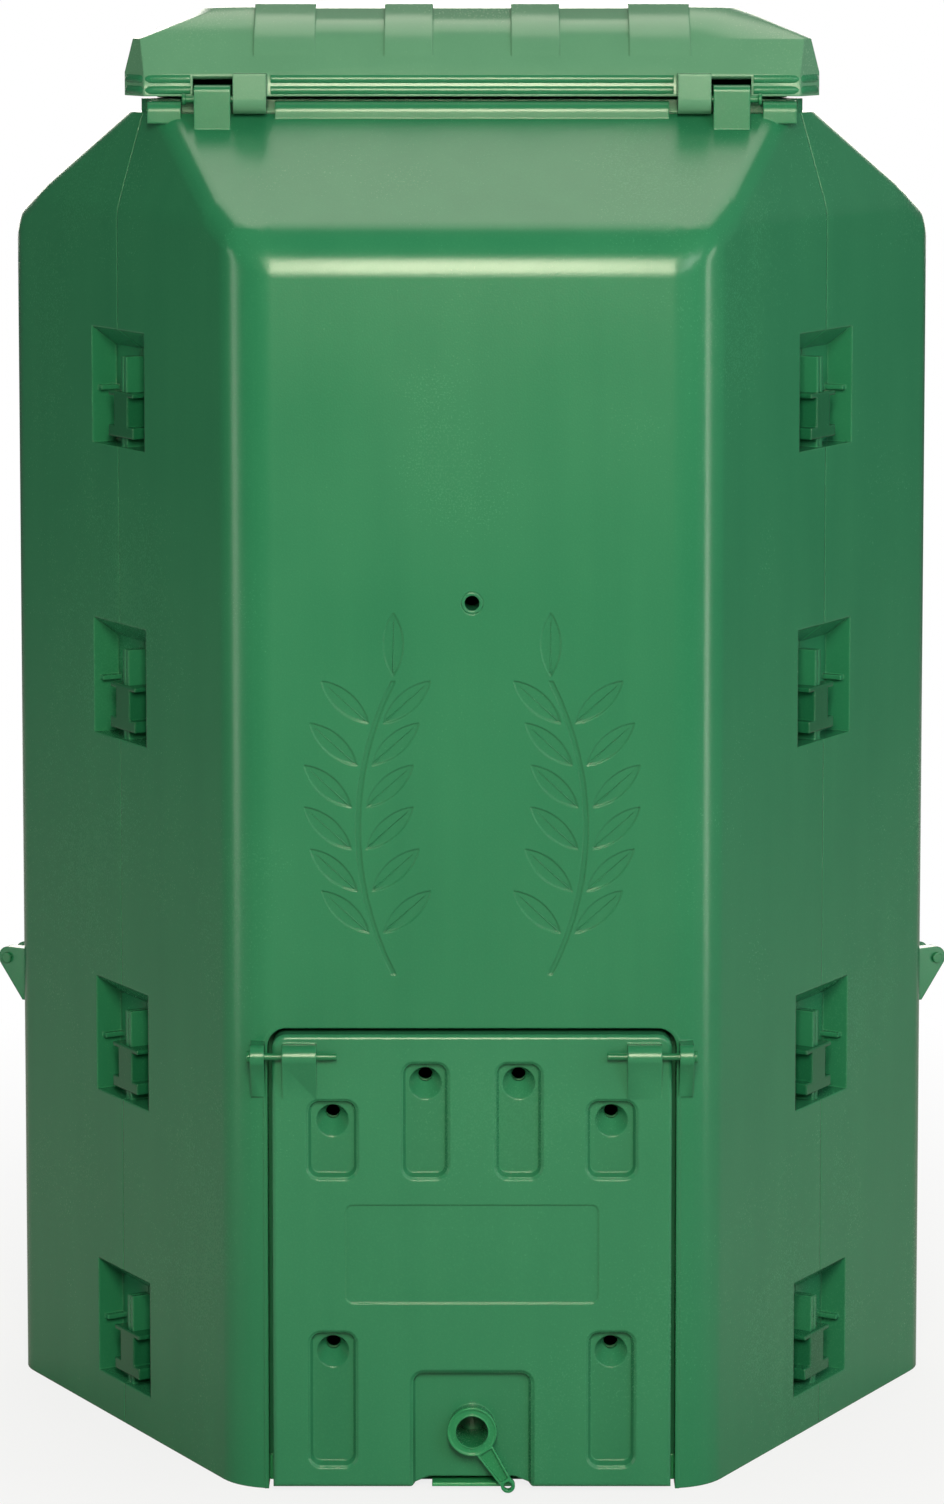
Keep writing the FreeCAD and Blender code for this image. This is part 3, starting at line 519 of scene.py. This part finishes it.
def makeFloor():
    half = studio["floorSize"] / 2
    mesh = bpy.data.meshes.new("floor")
    corners = [(-half, -half, 0), (half, -half, 0), (half, half, 0), (-half, half, 0)]
    mesh.from_pydata(corners, [], [(0, 1, 2, 3)])
    floor = newPiece("floor", mesh)
    material, wire = newMaterial("studioFloor")
    tone = studio["floorTone"]
    paint = wire.make("ShaderNodeBsdfDiffuse", None, {"Color": (tone, tone, tone, 1)})
    glow = wire.make("ShaderNodeEmission", None, {"Color": (1, 1, 1, 1), "Strength": 1.0})
    place = wire.make("ShaderNodeTexCoord", out="Object")
    reach = wire.make("ShaderNodeVectorMath", {"operation": "LENGTH"}, {0: place}, out="Value")
    outside = wire.maths("GREATER_THAN", reach, studio["insideReach"])  # no white under the closed bin
    fade = (reach * (1 / studio["shadowReach"])).limited()
    share = whiteFor(wire) * outside * (fade * studio["shadowShare"] + (1 - studio["shadowShare"]))
    both = wire.make("ShaderNodeMixShader", None, {0: share, 1: paint, 2: glow})
    wire.make("ShaderNodeOutputMaterial", None, {"Surface": both})
    mesh.materials.append(material)


def makeWorld():
    world = bpy.data.worlds.new("studioWorld")
    world.use_nodes = True
    world.node_tree.nodes.clear()
    wire = Wire(world.node_tree)
    heading = wire.make("ShaderNodeTexCoord", out="Generated")
    sideways = wire.make("ShaderNodeSeparateXYZ", None, {"Vector": heading})
    step = studio["worldRight"] - studio["worldLeft"]
    fill = (sideways * 0.5 + 0.5) * step + studio["worldLeft"]  # from -1 at the left to 1
    dim = wire.make("ShaderNodeBackground", None, {"Color": (1, 1, 1, 1), "Strength": fill})
    white = wire.make("ShaderNodeBackground", None, {"Color": (1, 1, 1, 1), "Strength": 1.0})
    both = wire.make("ShaderNodeMixShader", None, {0: whiteFor(wire), 1: dim, 2: white})
    wire.make("ShaderNodeOutputWorld", None, {"Surface": both})
    bpy.context.scene.world = world


lamps = {
    "topBox": {
        "place": (0.2, 1.0, 3.9), "aim": (0.0, 0.0, 1.1), "size": (3.0, 2.4), "watts": 62.0,
        "tint": (1.0, 0.96, 0.80),
    },
    "bandBox": {
        "place": (0.0, -3.75, 2.14), "aim": (0.0, -0.37, 1.05), "size": (0.68, 1.55), "watts": 146.0,
        "tint": (1.0, 0.97, 0.70),
    },
    "keyBox": {
        "place": (1.7, -3.0, 2.0), "aim": (0.1, -0.3, 0.6), "size": (1.2, 1.2), "watts": 32.0,
        "tint": (1.0, 0.97, 0.95),
    },
    "leftStrip": {
        "place": (-2.3, -0.95, 0.75), "aim": (0.0, -0.3, 0.6), "size": (0.26, 1.5), "watts": 9.0,
        "tint": (1.0, 0.97, 0.85),
    },
    "rightStrip": {
        "place": (2.3, -0.95, 0.75), "aim": (0.0, -0.3, 0.6), "size": (0.26, 1.5), "watts": 15.0,
        "tint": (1.0, 0.97, 0.85),
    },
    "backBox": {
        "place": (0.0, 4.0, 1.7), "aim": (0.0, 0.2, 0.9), "size": (4.4, 1.8), "watts": 120.0,
        "tint": (1.0, 0.96, 0.88),
    },
}


def makeLamps():
    for name, lamp in lamps.items():
        data = bpy.data.lights.new(name, "AREA")
        data.shape = "RECTANGLE"
        data.size, data.size_y = lamp["size"]
        data.energy = lamp["watts"]
        data.color = lamp["tint"]
        holder = newPiece(name, data)
        holder.location = lamp["place"]
        look = Vector(lamp["aim"]) - Vector(lamp["place"])
        holder.rotation_euler = look.to_track_quat("-Z", "Y").to_euler()


camera = {
    "place": (0.0, -4.6149, 1.3233), "pitch": 5.843, "lens": 122.30, "shift": -0.2, "sensor": 36.0,
    "clipEnd": 200.0,
}


def makeCamera():
    data = bpy.data.cameras.new("photoCamera")
    data.sensor_width = camera["sensor"]
    data.lens = camera["lens"]
    data.shift_y = camera["shift"]
    data.clip_end = camera["clipEnd"]
    holder = newPiece("photoCamera", data)
    holder.location = camera["place"]
    holder.rotation_euler = (math.radians(90 - camera["pitch"]), 0, 0)
    bpy.context.scene.camera = holder


makeFloor()
makeWorld()
makeLamps()
makeCamera()
bpy.context.scene.view_settings.view_transform = "Standard"
print("studio set")
